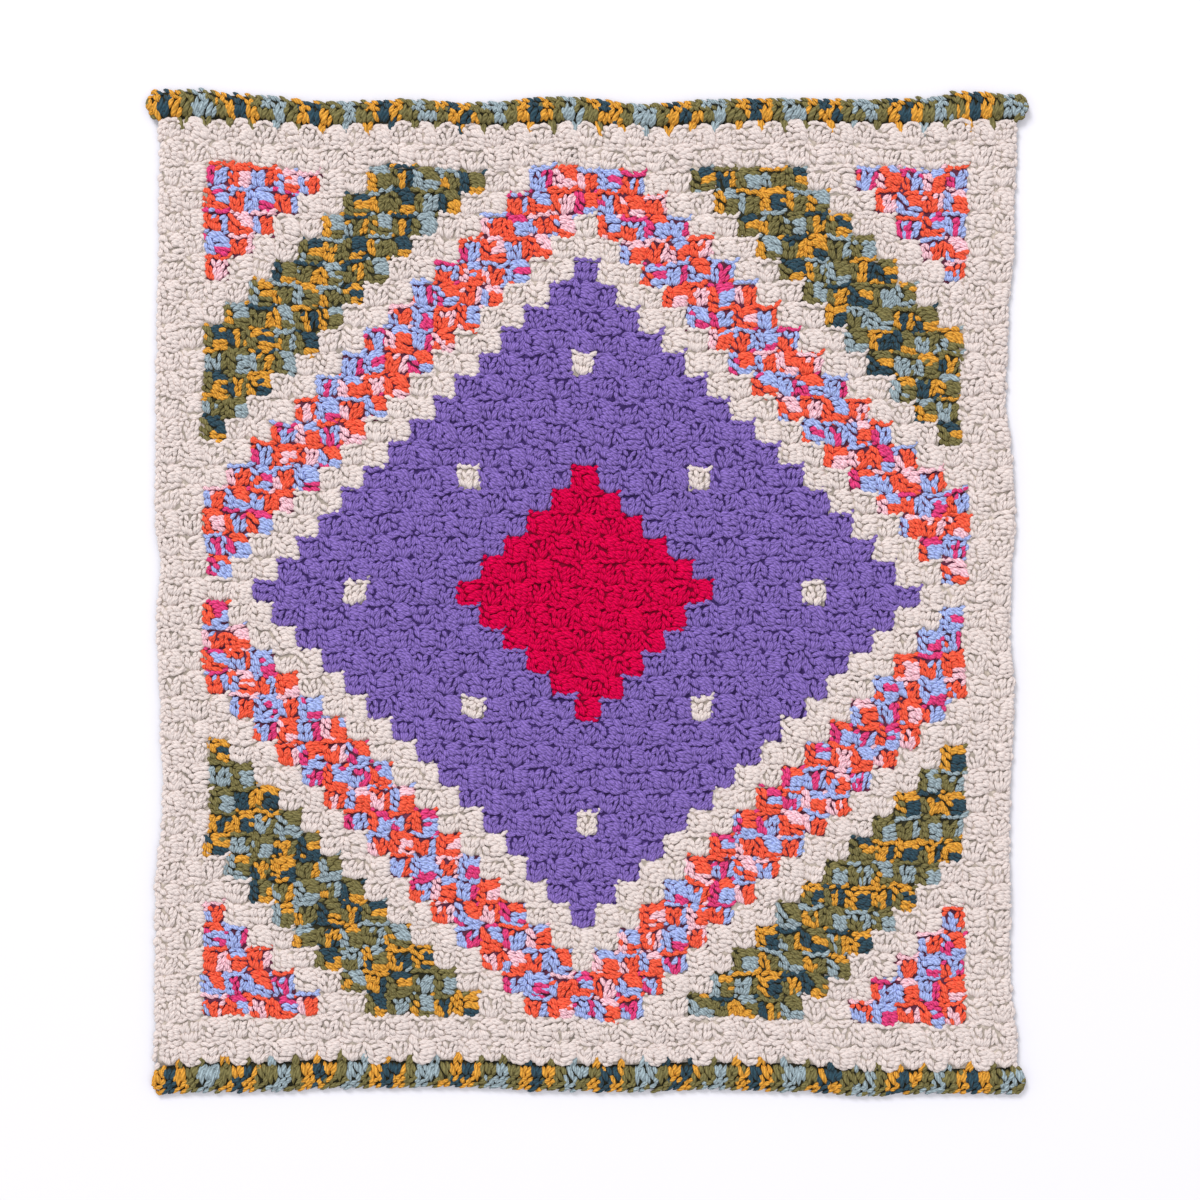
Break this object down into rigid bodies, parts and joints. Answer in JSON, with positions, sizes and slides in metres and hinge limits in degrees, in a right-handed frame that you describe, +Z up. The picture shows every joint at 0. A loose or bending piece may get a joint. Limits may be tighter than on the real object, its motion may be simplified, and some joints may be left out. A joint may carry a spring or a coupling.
{
  "type": "corner to corner crochet blanket",
  "caption": "Flat rectangular crochet throw worked in diagonal rows of small square blocks, with a motif panel on a cream ground and a variegated edging along the top and bottom",
  "frame": {"origin": "on the surface under the middle of the blanket's overall box", "axes": "+X across the blanket towards its right edge, +Y up its length towards the top edging, +Z up from the surface"},
  "size_m": [1.3248, 1.517, 0.017],
  "materials": {
    "cream_yarn": "matte bulky yarn, slightly pinkish cream",
    "green_mix_yarn": "matte variegated bulky yarn in olive, gold, teal and dusty blue",
    "purple_yarn": "matte bulky yarn, plain purple",
    "red_yarn": "matte bulky yarn, plain crimson red",
    "pink_mix_yarn": "matte variegated bulky yarn in coral, light pink, periwinkle blue and magenta"
  },
  "bodies": {
    "root": {"panel": "cream_yarn", "edging_top": "green_mix_yarn", "edging_bottom": "green_mix_yarn"}
  },
  "joints": []
}
